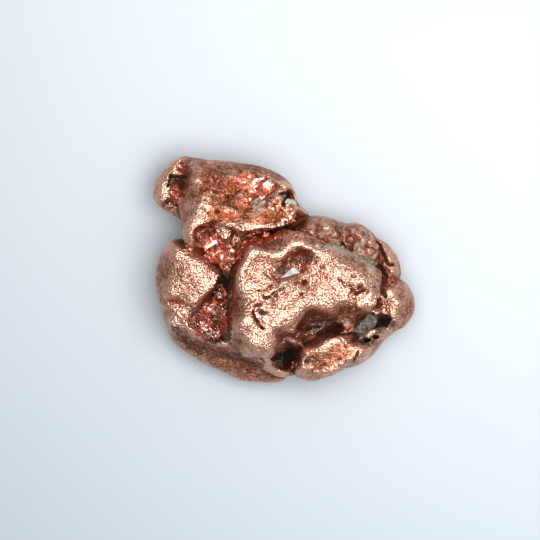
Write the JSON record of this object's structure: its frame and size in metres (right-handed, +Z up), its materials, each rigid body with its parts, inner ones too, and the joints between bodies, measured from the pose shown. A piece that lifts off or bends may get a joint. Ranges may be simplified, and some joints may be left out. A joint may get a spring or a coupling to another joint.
{
  "type": "native copper nugget",
  "caption": "Tumbled nugget of native copper with rounded lobes, deep clefts, red cuprite crystals and crumbs of grey rock.",
  "frame": {"origin": "under the middle of the bounding box, on the surface that the nugget rests on", "axes": "+Z up, +X along the longest side, with the head at -X +Y; seen from above, +Y is away from the viewer"},
  "size_m": [0.0285, 0.0248, 0.0122],
  "materials": {
    "copper": "native copper, tumbled and satin bright, with brown tarnish in the hollows",
    "rock": "grey-green matrix rock, dull and fine-grained",
    "pale_rock": "pale grey rock chip, dull with small glints",
    "cuprite": "red cuprite crystals, glassy"
  },
  "bodies": {
    "root": {"copper_nugget": "copper", "pocket_rock": "rock", "crater_rock": "pale_rock", "shoulder_rock": "pale_rock", "neck_cuprite": "cuprite", "lip_cuprite": "cuprite", "cleft_cuprite": "cuprite", "dish_cuprite": "cuprite"}
  },
  "joints": []
}
